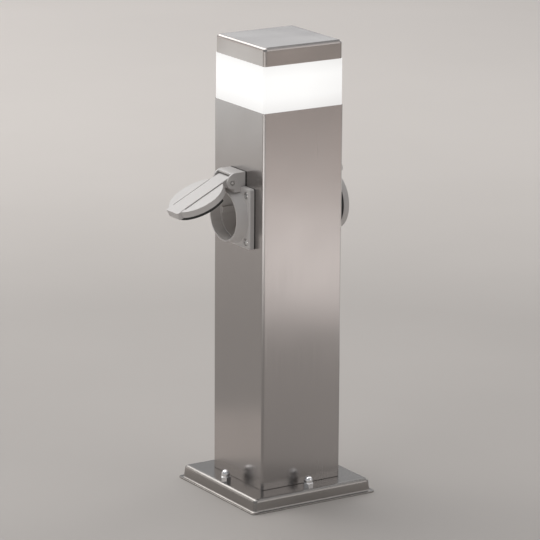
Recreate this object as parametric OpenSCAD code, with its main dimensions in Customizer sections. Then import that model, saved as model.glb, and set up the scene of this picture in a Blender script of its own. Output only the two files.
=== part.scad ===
// Garden socket post: a square stainless post on a pressed base, with a lit band under its cap
// and a sprung-lid socket outlet on each of two opposite faces. Millimetres, +Z up.
// The origin is on the ground, on the axis of the post. The outlets are on the -X and +X faces.

/* [Post] */
// Outside width of the square post tube
post_w = 80; // [78:1:100]
// Height of the post tube
post_h = 332; // [322:1:420]
// Sheet thickness of the post tube
post_wall = 1.5; // [1:0.1:2]
// Outside corner radius of the post tube
post_corner_r = 2.2; // [2.1:0.1:4]

/* [Base] */
// Outside width of the base, over its lip
base_w = 126; // [122:1:160]
// Height of the base
base_h = 12; // [10:0.5:20]
// Sheet thickness of the base pressing
base_sheet = 1.2; // [0.8:0.1:2]
// Width of the lip that stands on the ground
base_lip = 2.8; // [1.5:0.1:5]
// How far the side wall leans in between lip and shoulder
base_lean = 1.2; // [0:0.1:2]
// Radius of the rounded shoulder along the top edge
base_shoulder_r = 3; // [2:0.1:4]
// Corner radius of the lip
base_corner_r = 4; // [4:0.1:9]
// Distance of each fixing hole from the edge of the lip
fixing_edge = 11; // [9:0.5:12]
// Radius of the fixing holes
fixing_hole_r = 2.75; // [2.2:0.05:3.2]

/* [Cap nuts] */
// Width across the flats of the cap nuts
nut_flats = 8; // [7.5:0.1:10]
// Height of the hexagon of the cap nuts
nut_hex_h = 4.6; // [3:0.1:6]
// Radius of the dome of the cap nuts
nut_dome_r = 3.7; // [3.3:0.1:3.7]
// Length of the straight neck between hexagon and dome
nut_neck_h = 2; // [1:0.1:3]
// Thread radius of the cap nuts
nut_thread_r = 2.1; // [1.8:0.05:2.3]

/* [Lamp head] */
// Height of the lit band
lens_h = 40; // [36:1:60]
// How far the lit band stands back from the face of the post
lens_inset = 0.5; // [0.3:0.1:0.8]
// Wall thickness of the lit band
lens_wall = 2.5; // [2:0.1:4]
// Height of the cap
cap_h = 16; // [14:0.5:30]
// How far the cap stands back from the face of the post
cap_inset = 0.8; // [0.4:0.1:1]
// Sheet thickness of the cap
cap_sheet = 1.2; // [0.8:0.1:1.5]
// Radius of the rounded edge around the top of the cap
cap_edge_r = 4.2; // [2:0.1:5]
// Radius of the cap's upright corners
cap_corner_r = 2.8; // [1.6:0.1:4]
// Thickness of the carrier plate in the top of the post
carrier_t = 2; // [1.5:0.1:3]
// Depth of the carrier's folded rim
carrier_rim = 10; // [6:0.5:14]
// Thickness of the two lamp gaskets
lamp_gasket_t = 2; // [1:0.1:3]
// Width of the two lamp gaskets
lamp_gasket_w = 5; // [4:0.1:5.5]
// Distance of each tie rod from the faces of the post, along X and along Y
tie_edge = 11; // [11:0.5:13]
// Radius of the tie rods
tie_r = 2; // [1.5:0.1:2.5]
// Width of the square core that carries the light boards
core_w = 24; // [22:0.5:30]
// Wall thickness of the core
core_wall = 1.5; // [1:0.1:2.5]
// Width of a light board
board_w = 18; // [16:0.5:20]
// Thickness of a light board
board_t = 1.2; // [0.8:0.1:2]
// Rows of light chips on a board
chip_rows = 5; // [3:1:7]

/* [Outlets] */
// Height of the outlets' centre above the ground
socket_z = 250.2; // [246:0.2:262]
// Width of the square flange
flange_w = 53; // [52.5:0.5:60]
// Thickness of the flange
flange_t = 4.2; // [4:0.1:6]
// Corner radius of the flange
flange_corner_r = 2; // [2:0.1:4]
// Thickness of the gasket behind the flange
gasket_t = 1; // [0.8:0.1:2]
// Distance of the flange screws from the centre, along both sides
screw_reach = 20.3; // [20:0.05:21]
// Radius of the flange screws
screw_r = 1.75; // [1.4:0.05:2]
// Radius of the head of the flange screws
screw_head_r = 2.9; // [2.5:0.05:3.1]
// Outside radius of the tapered collar at the flange
collar_foot_r = 24.4; // [23.5:0.1:24.8]
// Outside radius of the collar at its mouth, which the lid closes over
collar_r = 22.3; // [22.1:0.1:23]
// Length of the collar in front of the flange
collar_h = 10; // [9:0.1:11]
// Inside radius of the collar
mouth_r = 21.2; // [21.2:0.1:21.6]
// Radius of the plug recess
recess_r = 19.75; // [19.5:0.05:19.8]
// Depth of the plug recess behind the face of the flange
recess_depth = 16.5; // [16:0.1:18]
// Wall thickness of the insert around the recess
insert_wall = 1.25; // [1:0.05:1.3]
// Distance of the contact holes from the centre
contact_reach = 9.5; // [9:0.1:10]
// Radius of the contact holes
contact_hole_r = 2.7; // [2.5:0.05:3]

/* [Lid hinges] */
// How far the hinge pin stands out from the face of the post
pin_out = 13.2; // [13:0.1:13.6]
// Height of the hinge pin above the centre of the outlet
pin_up = 30.5; // [30:0.1:32]
// Radius of the hinge pin
pin_r = 1.5; // [1.2:0.05:1.7]
// Radial play of the lid on its pin
pin_play = 0.05; // [0.02:0.01:0.09]
// Play of the lid's skirt around the collar
lid_play = 0.4; // [0.3:0.05:0.8]
// Wall thickness of the lid's skirt
lid_skirt_t = 1.3; // [1:0.1:1.6]
// Thickness of the lid's top
lid_top_t = 1.7; // [1.4:0.1:2]
// Width of the raised strap across the lid
strap_w = 17.6; // [15:0.1:18.5]
// Height of the strap above the rim of the lid; the wings beside it fall to the rim
strap_rise = 0.8; // [0.6:0.1:1.4]
// Height of the lid's skirt at the rim
skirt_h = 5.4; // [5:0.1:5.6]
// How far the finger tab reaches past the edge of the lid
tab_reach = 1.6; // [1:0.1:6]
// Angle by which the left lid stands open, in degrees
left_lid_angle = 63.5; // [0:0.5:90]
// Thickness of each ear of the hinge block
ear_t = 2.8; // [2:0.1:4]
// Height of the hinge block above the pin
block_rise = 8.4; // [7.6:0.1:10]

/* [Wiring] */
// Radius of the insulated wires
wire_r = 1.3; // [1:0.05:1.5]
// Radius of the cable opening through the base
cable_r = 5; // [4:0.1:6]
// Sheet thickness of the terminal bracket
bracket_t = 1.5; // [1:0.1:2]
// Height of the terminal bracket
bracket_h = 182; // [182:1:190]
// Width of the light driver
driver_w = 40; // [32:1:44]
// Depth of the light driver
driver_d = 18; // [14:1:19]

/* [Hidden] */
$fn = 48;
steel = [0.70, 0.69, 0.67];
steel_dark = [0.55, 0.54, 0.53];
zinc = [0.82, 0.82, 0.80];
brass = [0.80, 0.66, 0.30];
plastic = [0.72, 0.70, 0.68];
white_plastic = [0.90, 0.90, 0.88];
black_rubber = [0.06, 0.06, 0.06];
opal = [1.00, 0.99, 0.96];
board_green = [0.92, 0.93, 0.90];
skin = 0.01;
fit = 0.15;
thread_fit = 0.05;
hole_fit = 0.4;
corner_steps = 8;

base_foot_w = base_w - 2 * base_lip;
fixing_reach = base_w / 2 - fixing_edge;
base_foot_r = base_corner_r - 0.5;
post_z = base_h;
post_top = post_z + post_h;
post_in_w = post_w - 2 * post_wall;
lens_w = post_w - 2 * lens_inset;
lens_top = post_top + lens_h;
cap_w = post_w - 2 * cap_inset;
cap_in_w = cap_w - 2 * cap_sheet;
cap_top = lens_top + cap_h;
lamp_side_play = 0.2;
carrier_top = post_top - lamp_gasket_t;
carrier_z = carrier_top - carrier_t;
carrier_hole_r = 7;
tie_reach = post_w / 2 - tie_edge;
tie_hole_r = tie_r + 0.3;
tie_nut_h = 3.2;
tie_nut_flats = 2 * tie_r + 3;
tie_end = 2;
cap_plate_t = 2;
cap_plate_z = lens_top + lamp_gasket_t;
boss_r = tie_r + 2.5;
boss_top = cap_top - cap_sheet;
rod_reach = boss_top - cap_plate_z - 3;
core_gap = 4;
core_top = cap_plate_z - core_gap;
board_margin = 3;
chip = [2.8, 3.5, 0.7];
chip_columns = [-4, 4];

nut_corner_r = nut_flats / 2 / cos(30);
nut_thread_depth = nut_hex_h + nut_neck_h;
grommet_flange = 3;
grommet_t = 2;
grommet_wall = 3;
grommet_hole_r = cable_r + grommet_wall;

flange_front = gasket_t + flange_t;
collar_front = flange_front + collar_h;
insert_r = recess_r + insert_wall;
wall_hole_r = insert_r + hole_fit;
ring_r = insert_r + 2;
ring_t = 1;
floor_t = 3;
floor_n = flange_front - recess_depth;
chamber_n = floor_n - floor_t;
chamber_depth = 13.7;
back_n = chamber_n - chamber_depth;
cover_t = 2.5;
cover_n = back_n - cover_t;
chamber_r = insert_r - 1.5;
key_w = 5;
key_t = 2;
clip_w = 5;
clip_t = 0.8;
clip_stand = 1.5;
clip_top = 3.2;
clip_foot = 3;
clip_bow_h = 2.5;
rivet_r = 1;
rivet_up = recess_r - clip_stand - clip_foot / 2;
earth_drop = 12;
sleeve_r = contact_hole_r + 0.9;
terminal_h = 5;
terminal_w = 7.5;
wire_hole_r = wire_r + 0.4;
screw_head_h = 1.8;
screw_sink = 2;
screw_len = 14;
gasket_margin = 0.4;

lid_gap = 0.3;
lid_in_n = collar_front + lid_gap;
lid_top_n = lid_in_n + lid_top_t;
strap_n = lid_top_n + strap_rise;
lid_edge_n = lid_top_n - skirt_h;
lid_in_r = collar_at(lid_edge_n) + lid_play;
lid_r = lid_in_r + lid_skirt_t;
seal_h = 2.4;
seal_up = 12;
seal_margin = 0.2;
seal_play = 0.15;
wing_step = 0.1;
wing_tilt = atan((strap_rise - wing_step) / (lid_r - strap_w / 2));
lid_edge_r = 0.8;
strap_r = strap_n - pin_out;
hollow_r = strap_r + 0.9;
knuckle_r = 3.8;
strap_side_gap = 0.4;
block_w = strap_w + 2 * strap_side_gap + 2 * ear_t;
block_top = pin_up + block_rise;
ear_r = 5.2;
ear_front = pin_out + ear_r;
block_step_n = lid_edge_n - 0.4;
block_step_up = pin_up - 8.5;
web_up = pin_up - 4.1;
roof_front = pin_out + 0.9;
pin_len = block_w + 0.4;
pocket_r = 3.9;
pocket_w = 7.2;
spring_r = 2.5;
spring_wire_r = 0.4;
spring_turns = 4;
spring_pitch = 1.4;
spring_sides = 6;
spring_steps = 8;
leg_gap = 0.3;

bracket_y = 28.5;
bracket_w = 50;
bracket_foot = 8;
wire_y = 20.5;
block_size = [36, 16, 18];
block_z = 96;
pole_pitch = 12;
hole_pitch = 4;
wire_depth = 6;
terminal_screw_r = 1.9;
clamp_size = [34, 15.5, 12];
clamp_z = 54;
clamp_screw_reach = 11;
clamp_screw_r = 1.8;
clamp_head_r = 3.2;
driver_h = 52;
driver_z = 135;
driver_ear = 5;
driver_ear_t = 2;
driver_screw_r = 1.5;
driver_head_r = 2.3;
stud_place = [22, 2, post_z];
stud_r = 2;
stud_h = 11;
stud_nut_h = 3.2;
stud_nut_z = 3;
lug_t = 1;
lug_r = 4.5;
wire_bend = 6;
wire_lane = 3;
wire_rise = 12;

block_top_z = block_z + block_size[2];
wire_start_z = block_top_z - wire_depth;
back_x = post_w / 2 + back_n;
lug_neck = 8;
earth_from = [hole_pitch, wire_y, block_z];
earth_to = [stud_place[0], stud_place[1], post_z + stud_nut_z + stud_nut_h + lug_t + lug_neck];
led_start = driver_z + driver_h;
led_side_y = insert_r + 6;
led_lead_up = 22;

// Points of an arc about c from angle a0 to angle a1
function arc(c, r, a0, a1, steps = corner_steps) =
    [for (i = [0:steps]) c + r * [cos(a0 + (a1 - a0) * i / steps), sin(a0 + (a1 - a0) * i / steps)]];

// Outline of a square with rounded corners, about the origin
function rounded_square(w, r) =
    [for (q = [0:3], a = 90 * q)
        each arc((w / 2 - r) * [sign(cos(a + 45)), sign(sin(a + 45))], r, a, a + 90)];

function unit(v) = v / norm(v);

// Outside radius of the tapered collar at a distance n out of the face
function collar_at(n) = collar_foot_r + (collar_r - collar_foot_r) * (n - flange_front) / collar_h;

// Point on the way from a to b, at its own share of the way along X, Y and Z
function partway(a, b, share) = [for (i = [0:2]) a[i] + (b[i] - a[i]) * share[i]];

// Direction of a route at its point i
function heading(p, i) = unit(p[min(i + 1, len(p) - 1)] - p[max(i - 1, 0)]);

// Ring of points around a route's point i
function ring(p, i, r, sides, side_way) =
    let (t = heading(p, i), u = unit(cross(side_way, t)), v = cross(t, u))
    [for (k = [0:sides - 1]) p[i] + r * (cos(360 * k / sides) * u + sin(360 * k / sides) * v)];

// Round wire along a route; side_way is a direction that the route never runs along
module wire(p, r, sides = 8, side_way = [0, 1, 0]) {
    last = (len(p) - 1) * sides;
    points = [for (i = [0:len(p) - 1]) each ring(p, i, r, sides, side_way)];
    walls = [for (i = [0:len(p) - 2]) for (k = [0:sides - 1])
        let (a = i * sides + k, b = i * sides + (k + 1) % sides)
        each [[a, b + sides, b], [a, a + sides, b + sides]]];
    ends = [[for (k = [0:sides - 1]) k], [for (k = [sides - 1:-1:0]) last + k]];
    polyhedron(points, concat(walls, ends));
}

// Square plate with rounded corners, standing on z
module slab(w, r, z, h) {
    translate([0, 0, z])
        linear_extrude(h)
            polygon(rounded_square(w, r));
}

// Square tube with rounded corners
module square_tube(w, wall, r, z, h) {
    difference() {
        slab(w, r, z, h);
        slab(w - 2 * wall, max(r - wall, 0.4), z - 1, h + 2);
    }
}

// Pan with its top edge rounded: w at the foot, leaning in to the shoulder
module pan_shape(w, r, z, h, edge_r, lean = 0) {
    steps = 4;
    hull() {
        slab(w, r, z, skin);
        for (i = [0:steps]) {
            in = lean + edge_r * (1 - cos(90 * i / steps));
            slab(w - 2 * in, max(r - in, 0.4), z + h - edge_r + edge_r * sin(90 * i / steps) - skin, skin);
        }
    }
}

module hexagon(flats, h) {
    cylinder(r = flats / 2 / cos(30), h = h, $fn = 6);
}

// Copies on the four sides of the post
module on_four_sides() {
    for (a = [0:90:270])
        rotate([0, 0, a])
            children();
}

// Copies at the four places (reach, reach)
module at_corners(reach) {
    for (x = [-reach, reach])
        for (y = [-reach, reach])
            translate([x, y, 0])
                children();
}

// Outlet frame: x runs across the face, y up and z out of the face, from the outlet's centre
module on_right() {
    translate([post_w / 2, 0, socket_z])
        rotate([90, 0, 90])
            children();
}

module on_left() {
    rotate([0, 0, 180])
        on_right()
            children();
}

// Sweep an outline of (out, up) points across the face by w
module across(w) {
    rotate([0, -90, 0])
        linear_extrude(w, center = true)
            children();
}

// Cylinder along the hinge pin's axis
module along_pin(r, w) {
    translate([0, pin_up, pin_out])
        rotate([0, 90, 0])
            cylinder(r = r, h = w, center = true);
}

// Turn a lid about its pin
module opened(angle) {
    translate([0, pin_up, pin_out])
        rotate([-angle, 0, 0])
            translate([0, -pin_up, -pin_out])
                children();
}

module base_plate() {
    color(steel)
        difference() {
            union() {
                slab(base_w, base_corner_r, 0, base_sheet);
                pan_shape(base_foot_w, base_foot_r, 0, base_h, base_shoulder_r, base_lean);
            }
            pan_shape(base_foot_w - 2 * base_sheet, base_foot_r - base_sheet, -skin,
                base_h - base_sheet + skin, base_shoulder_r - base_sheet, base_lean);
            on_four_sides()
                translate([fixing_reach, 0, 0])
                    cylinder(r = fixing_hole_r, h = base_h + 1);
            cylinder(r = grommet_hole_r, h = base_h + 1);
        }
}

module cap_nuts() {
    color(zinc)
        on_four_sides()
            translate([fixing_reach, 0, base_h])
                difference() {
                    union() {
                        intersection() {
                            hexagon(nut_flats, nut_hex_h);
                            cylinder(r1 = nut_corner_r + nut_hex_h - 0.5, r2 = nut_corner_r - 0.5,
                                h = nut_hex_h);
                        }
                        cylinder(r = nut_dome_r, h = nut_hex_h + nut_neck_h);
                        translate([0, 0, nut_hex_h + nut_neck_h])
                            intersection() {
                                sphere(r = nut_dome_r);
                                cylinder(r = nut_dome_r + 1, h = nut_dome_r + 1);
                            }
                    }
                    translate([0, 0, -1])
                        cylinder(r = nut_thread_r, h = nut_thread_depth + 1);
                }
}

module cable_grommet() {
    low = base_h - base_sheet - grommet_t;
    high = base_h + grommet_t;
    neck = grommet_hole_r - thread_fit;
    rim = grommet_hole_r + grommet_flange;
    color(black_rubber)
        rotate_extrude()
            polygon([[cable_r, low], [rim, low], [rim, base_h - base_sheet], [neck, base_h - base_sheet],
                [neck, base_h], [rim, base_h], [rim, high], [cable_r, high]]);
}

module post_tube() {
    color(steel)
        difference() {
            square_tube(post_w, post_wall, post_corner_r, post_z, post_h);
            for (side = [0, 180])
                rotate([0, 0, side])
                    on_right()
                        translate([0, 0, -2 * post_wall]) {
                            cylinder(r = wall_hole_r, h = 3 * post_wall);
                            at_corners(screw_reach)
                                cylinder(r = screw_r + thread_fit, h = 3 * post_wall);
                        }
        }
}

module terminal_bracket() {
    color(steel_dark)
        difference() {
            union() {
                translate([-bracket_w / 2, bracket_y, post_z])
                    cube([bracket_w, bracket_t, bracket_h]);
                translate([-bracket_w / 2, bracket_y, post_z])
                    cube([bracket_w, bracket_foot, bracket_t]);
            }
            bracket_screw_holes(thread_fit);
        }
}

// Holes of the clamp and driver screws through the bracket
module bracket_screw_holes(play) {
    for (x = [-clamp_screw_reach, clamp_screw_reach])
        translate([x, bracket_y - 1, clamp_z + clamp_size[2] / 2])
            rotate([-90, 0, 0])
                cylinder(r = clamp_screw_r + play, h = bracket_t + 2);
    at_driver_ears()
        translate([0, bracket_y - 1, 0])
            rotate([-90, 0, 0])
                cylinder(r = driver_screw_r + play, h = bracket_t + 2);
}

// Terminal block with three poles: live, earth and neutral
module terminal_block() {
    color(white_plastic)
        difference() {
            translate([-block_size[0] / 2, bracket_y - block_size[1], block_z])
                cube(block_size);
            for (pole = [-1:1]) {
                for (hole = [-1:1])
                    translate([pole * pole_pitch + hole * hole_pitch, wire_y, wire_start_z])
                        cylinder(r = wire_hole_r, h = wire_depth + 1);
                for (hole = [0:1])
                    translate([pole * pole_pitch + hole * hole_pitch, wire_y, block_z - 1])
                        cylinder(r = wire_hole_r, h = wire_depth + 1);
                translate([pole * pole_pitch, bracket_y - block_size[1] - 1, block_z + block_size[2] / 2])
                    rotate([-90, 0, 0])
                        cylinder(r = terminal_screw_r + fit, h = 5);
            }
        }
}

module terminal_screws() {
    depth = 3.2;
    color(zinc)
        for (pole = [-1:1])
            translate([pole * pole_pitch, bracket_y - block_size[1] + 4, block_z + block_size[2] / 2])
                rotate([90, 0, 0])
                    difference() {
                        cylinder(r = terminal_screw_r, h = depth);
                        translate([-terminal_screw_r - 1, -0.3, depth - 0.8])
                            cube([2 * terminal_screw_r + 2, 0.6, 1]);
                    }
}

// Cord clamp: a block that grips the supply cable on its way up to the terminals
module cord_clamp() {
    color(white_plastic)
        difference() {
            translate([-clamp_size[0] / 2, bracket_y - clamp_size[1], clamp_z])
                cube(clamp_size);
            translate([0, wire_y, clamp_z - 1])
                cylinder(r = cable_r, h = clamp_size[2] + 2);
            for (x = [-clamp_screw_reach, clamp_screw_reach])
                translate([x, bracket_y - clamp_size[1] - 1, clamp_z + clamp_size[2] / 2])
                    rotate([-90, 0, 0])
                        cylinder(r = clamp_screw_r + fit, h = clamp_size[1] + 2);
        }
}

module clamp_screws() {
    head_h = 2;
    color(zinc)
        for (x = [-clamp_screw_reach, clamp_screw_reach])
            translate([x, bracket_y - clamp_size[1], clamp_z + clamp_size[2] / 2])
                rotate([-90, 0, 0]) {
                    cylinder(r = clamp_screw_r, h = clamp_size[1] + bracket_t + 2);
                    translate([0, 0, -head_h])
                        cylinder(r = clamp_head_r, h = head_h);
                }
}

// Stud on the base that earths the metal casing
module earth_stud() {
    color(zinc)
        translate(stud_place)
            cylinder(r = stud_r, h = stud_h);
}

// Nut on the stud, with the ring lug of the earth wire on top of it
module earth_nut() {
    lug_z = stud_nut_z + stud_nut_h;
    color(brass)
        translate(stud_place)
            difference() {
                union() {
                    translate([0, 0, stud_nut_z])
                        hexagon(2 * stud_r + 3, stud_nut_h);
                    cylinder(r = lug_r, h = stud_nut_z);
                    translate([0, 0, lug_z])
                        cylinder(r = stud_r + 1.2, h = lug_t + 8);
                }
                translate([0, 0, -1])
                    cylinder(r = stud_r + thread_fit, h = stud_h + 1 + thread_fit);
            }
}

// Places of the driver's two fixing ears
module at_driver_ears() {
    for (x = [-1, 1])
        translate([x * (driver_w / 2 - driver_ear), 0, driver_z - driver_ear / 2])
            children();
}

module led_driver() {
    color(white_plastic)
        difference() {
            union() {
                translate([-driver_w / 2, bracket_y - driver_d, driver_z])
                    cube([driver_w, driver_d, driver_h]);
                translate([-driver_w / 2, bracket_y - driver_ear_t, driver_z - driver_ear])
                    cube([driver_w, driver_ear_t, driver_h + driver_ear]);
            }
            at_driver_ears()
                translate([0, bracket_y - driver_ear_t - 1, 0])
                    rotate([-90, 0, 0])
                        cylinder(r = driver_screw_r + fit, h = driver_ear_t + 2);
        }
}

module driver_screws() {
    head_h = 1.6;
    color(zinc)
        at_driver_ears()
            translate([0, bracket_y - driver_ear_t, 0])
                rotate([-90, 0, 0]) {
                    cylinder(r = driver_screw_r, h = driver_ear_t + bracket_t + 2);
                    translate([0, 0, -head_h])
                        cylinder(r = driver_head_r, h = head_h);
                }
}

// Route of an outlet's wire: up from the terminal hole at x, past the driver, then out to the outlet
// on side (-1 left, 1 right) at (end_y, end_z)
function outlet_route(x, side, end_y, end_z) =
    let (
        lane = side * wire_lane,
        lane_y = wire_y * 0.2 + end_y * 0.4,
        climb = end_z - wire_rise - block_top_z
    )
    [[x, wire_y, wire_start_z],
     [x, wire_y, block_top_z + wire_bend * 0.5],
     [x, wire_y * 0.73, block_top_z + climb * 0.08],
     [x, wire_y * 0.39, block_top_z + climb * 0.14],
     [x * 0.8, lane_y, block_top_z + climb * 0.25],
     [x * 0.4 + lane * 0.6, lane_y, block_top_z + climb * 0.52],
     [lane, (lane_y + end_y) / 2, block_top_z + climb * 0.78],
     [lane, end_y, end_z - wire_rise],
     [lane + side * wire_bend * 0.15, end_y, end_z - wire_bend],
     [lane + side * wire_bend * 0.5, end_y, end_z - wire_bend * 0.27],
     [lane + side * wire_bend, end_y, end_z],
     [side * back_x, end_y, end_z]];

// Route of the casing's earth wire: down from the terminal block to the lug on the stud
earth_shares = [[0, 0, 0.09], [0.06, 0.19, 0.23], [0.33, 0.68, 0.41], [0.89, 0.95, 0.64],
    [1, 1, 0.9], [1, 1, 1]];
earth_route = [earth_from + [0, 0, wire_depth],
    for (share = earth_shares) partway(earth_from, earth_to, share)];

module live_wires() {
    x = -pole_pitch;
    color([0.35, 0.20, 0.12]) {
        wire(outlet_route(x - hole_pitch, -1, contact_reach, socket_z), wire_r);
        wire(outlet_route(x + hole_pitch, 1, contact_reach, socket_z), wire_r);
        translate([x, wire_y, wire_start_z])
            cylinder(r = wire_r, h = driver_z - wire_start_z);
    }
}

module neutral_wires() {
    x = pole_pitch;
    color([0.15, 0.30, 0.65]) {
        wire(outlet_route(x - hole_pitch, -1, -contact_reach, socket_z), wire_r);
        wire(outlet_route(x + hole_pitch, 1, -contact_reach, socket_z), wire_r);
        translate([x, wire_y, wire_start_z])
            cylinder(r = wire_r, h = driver_z - wire_start_z);
    }
}

module earth_wires() {
    color([0.45, 0.65, 0.15]) {
        wire(outlet_route(-hole_pitch, -1, 0, socket_z - earth_drop), wire_r);
        wire(outlet_route(hole_pitch, 1, 0, socket_z - earth_drop), wire_r);
        wire(earth_route, wire_r);
    }
}

// Two leads from the driver up into the core that carries the light boards
function led_route(side) =
    let (
        x = side * hole_pitch,
        climb = carrier_z - led_start,
        core_y = core_w / 2 - core_wall
    )
    [[2 * x, wire_y, led_start],
     [2 * x, wire_y, led_start + climb * 0.085],
     [1.5 * x, (wire_y + led_side_y) / 2, led_start + climb * 0.19],
     [x, led_side_y, led_start + climb * 0.35],
     [x, led_side_y, led_start + climb * 0.67],
     [x, led_side_y * 0.89, led_start + climb * 0.78],
     [x, led_side_y * 0.44, led_start + climb * 0.88],
     [x, led_side_y * 0.11, led_start + climb * 0.95],
     [x, core_y * 0.19, carrier_z + led_lead_up * 0.27],
     [x, core_y * 0.24, carrier_z + led_lead_up * 0.73],
     [x, core_y * 0.38, carrier_z + led_lead_up * 0.91],
     [x, core_y * 0.67, carrier_z + led_lead_up],
     [x, core_y, carrier_z + led_lead_up]];

module led_leads() {
    color([0.75, 0.12, 0.10])
        for (side = [-1, 1])
            wire(led_route(side), wire_r * 0.7, side_way = [1, 0, 0]);
}

module head_carrier() {
    rim_r = 2;
    color(steel_dark)
        difference() {
            slab(post_in_w, rim_r, carrier_top - carrier_rim, carrier_rim);
            slab(post_in_w - 2 * carrier_t, rim_r, carrier_top - carrier_rim - 1,
                carrier_rim + 1 - carrier_t);
            cylinder(r = carrier_hole_r, h = carrier_top + 1);
            at_corners(tie_reach)
                cylinder(r = tie_hole_r, h = carrier_top + 1);
        }
}

module lower_lens_gasket() {
    color(black_rubber)
        square_tube(post_in_w - 2 * lamp_side_play, lamp_gasket_w, 2, carrier_top, lamp_gasket_t);
}

module lens() {
    color(opal)
        square_tube(lens_w, lens_wall, post_corner_r, post_top, lens_h);
}

module upper_lens_gasket() {
    color(black_rubber)
        square_tube(cap_in_w - 2 * lamp_side_play, lamp_gasket_w, 2, lens_top, lamp_gasket_t);
}

module led_core() {
    color(steel_dark)
        square_tube(core_w, core_wall, 0.5, carrier_top, core_top - carrier_top);
}

module led_boards() {
    color(board_green)
        on_four_sides()
            translate([core_w / 2, -board_w / 2, carrier_top + board_margin])
                cube([board_t, board_w, core_top - carrier_top - 2 * board_margin]);
}

module led_chips() {
    board_h = core_top - carrier_top - 2 * board_margin;
    color("lightyellow")
        on_four_sides()
            for (row = [1:chip_rows])
                for (y = chip_columns)
                    translate([core_w / 2 + board_t, y - chip[0] / 2,
                        carrier_top + board_margin + board_h * row / (chip_rows + 1) - chip[1] / 2])
                        cube([chip[2], chip[0], chip[1]]);
}

module tie_rods() {
    low = carrier_z - tie_nut_h - tie_end;
    color(zinc)
        at_corners(tie_reach)
            translate([0, 0, low])
                cylinder(r = tie_r, h = cap_plate_z + rod_reach - low);
}

module tie_nuts() {
    color(zinc)
        at_corners(tie_reach)
            translate([0, 0, carrier_z - tie_nut_h])
                difference() {
                    hexagon(tie_nut_flats, tie_nut_h);
                    translate([0, 0, -1])
                        cylinder(r = tie_r + thread_fit, h = tie_nut_h + 2);
                }
}

// Plate inside the cap; its bosses reach the underside of the cap and take the tie rods
module cap_plate() {
    color(steel_dark)
        difference() {
            union() {
                slab(cap_in_w - 2 * lamp_side_play, 2, cap_plate_z, cap_plate_t);
                at_corners(tie_reach)
                    translate([0, 0, cap_plate_z])
                        cylinder(r = boss_r, h = boss_top - cap_plate_z);
            }
            at_corners(tie_reach)
                translate([0, 0, cap_plate_z - 1])
                    cylinder(r = tie_r + thread_fit, h = rod_reach + 1 + thread_fit);
        }
}

module top_cap() {
    color(steel)
        difference() {
            pan_shape(cap_w, cap_corner_r, lens_top, cap_h, cap_edge_r);
            slab(cap_in_w, max(cap_corner_r - cap_sheet, 0.4), lens_top - 1, cap_h - cap_edge_r + 1);
            slab(cap_in_w - 2 * (cap_edge_r - cap_sheet), 0.4, lens_top - 1, cap_h - cap_sheet + 1);
        }
}

// Outline of the flange and the hinge block together, as seen from the front
module flange_outline(margin) {
    polygon(rounded_square(flange_w + 2 * margin, flange_corner_r));
    translate([-block_w / 2 - margin, 0])
        square([block_w + 2 * margin, block_top + margin]);
}

module flange_gasket() {
    color(black_rubber)
        difference() {
            linear_extrude(gasket_t)
                flange_outline(gasket_margin);
            translate([0, 0, -1])
                cylinder(r = wall_hole_r, h = gasket_t + 2);
            at_corners(screw_reach)
                translate([0, 0, -1])
                    cylinder(r = screw_r + fit, h = gasket_t + 2);
        }
}

// Side view of the hinge block, as (out, up) points
function block_outline() =
    concat([[gasket_t, block_step_up], [block_step_n, block_step_up], [block_step_n, pin_up - ear_r]],
        arc([pin_out, pin_up], ear_r, -90, 0),
        arc([ear_front - block_rise, pin_up], block_rise, 0, 90),
        [[gasket_t, block_top]]);

// Side view of the room that the lid's knuckle needs between the ears
function knuckle_room() =
    concat([[block_step_n, web_up], [block_step_n, lid_in_r], [ear_front + 1, lid_in_r],
        [ear_front + 1, block_top + 1], [roof_front, block_top + 1], [roof_front, pin_up + hollow_r]],
        arc([pin_out, pin_up], hollow_r, 92, 180),
        [[pin_out - hollow_r, web_up]]);

module socket_frame() {
    color(plastic)
        difference() {
            union() {
                translate([0, 0, gasket_t])
                    linear_extrude(flange_t)
                        polygon(rounded_square(flange_w, flange_corner_r));
                translate([0, 0, flange_front - skin])
                    cylinder(r1 = collar_foot_r, r2 = collar_r, h = collar_h + skin);
                across(block_w)
                    polygon(block_outline());
            }
            translate([0, 0, flange_front])
                cylinder(r = mouth_r, h = collar_front);
            cylinder(r = insert_r + fit, h = flange_front + 1);
            translate([0, 0, gasket_t - 1])
                cylinder(r = ring_r + fit, h = ring_t + 1);
            at_corners(screw_reach) {
                cylinder(r = screw_r + fit, h = flange_front);
                translate([0, 0, flange_front - screw_sink])
                    cylinder(r = screw_head_r + fit, h = screw_sink + 1);
            }
            across(block_w - 2 * ear_t)
                polygon(knuckle_room());
            along_pin(pin_r + 0.02, block_w + 1);
        }
}

// Insert: the plug recess with its two guide ribs, and the chamber behind its floor
module socket_insert() {
    color(plastic)
        difference() {
            union() {
                translate([0, 0, back_n])
                    cylinder(r = insert_r, h = flange_front - back_n);
                translate([0, 0, gasket_t])
                    cylinder(r = ring_r, h = ring_t);
            }
            difference() {
                translate([0, 0, floor_n])
                    cylinder(r = recess_r, h = recess_depth + 1);
                for (x = [-1, 1])
                    translate([x * (recess_r - key_t / 2 + 0.5) - key_t / 2 - 0.5, -key_w / 2, floor_n - 1])
                        cube([key_t + 1, key_w, recess_depth + 3]);
            }
            translate([0, 0, back_n - 1])
                cylinder(r = chamber_r, h = chamber_depth + 1);
            for (x = [-contact_reach, contact_reach])
                translate([x, 0, chamber_n - 1])
                    cylinder(r = contact_hole_r, h = floor_t + 2);
            for (y = [-rivet_up, rivet_up])
                translate([0, y, chamber_n - 1])
                    cylinder(r = rivet_r + fit, h = floor_t + 2);
        }
}

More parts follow.
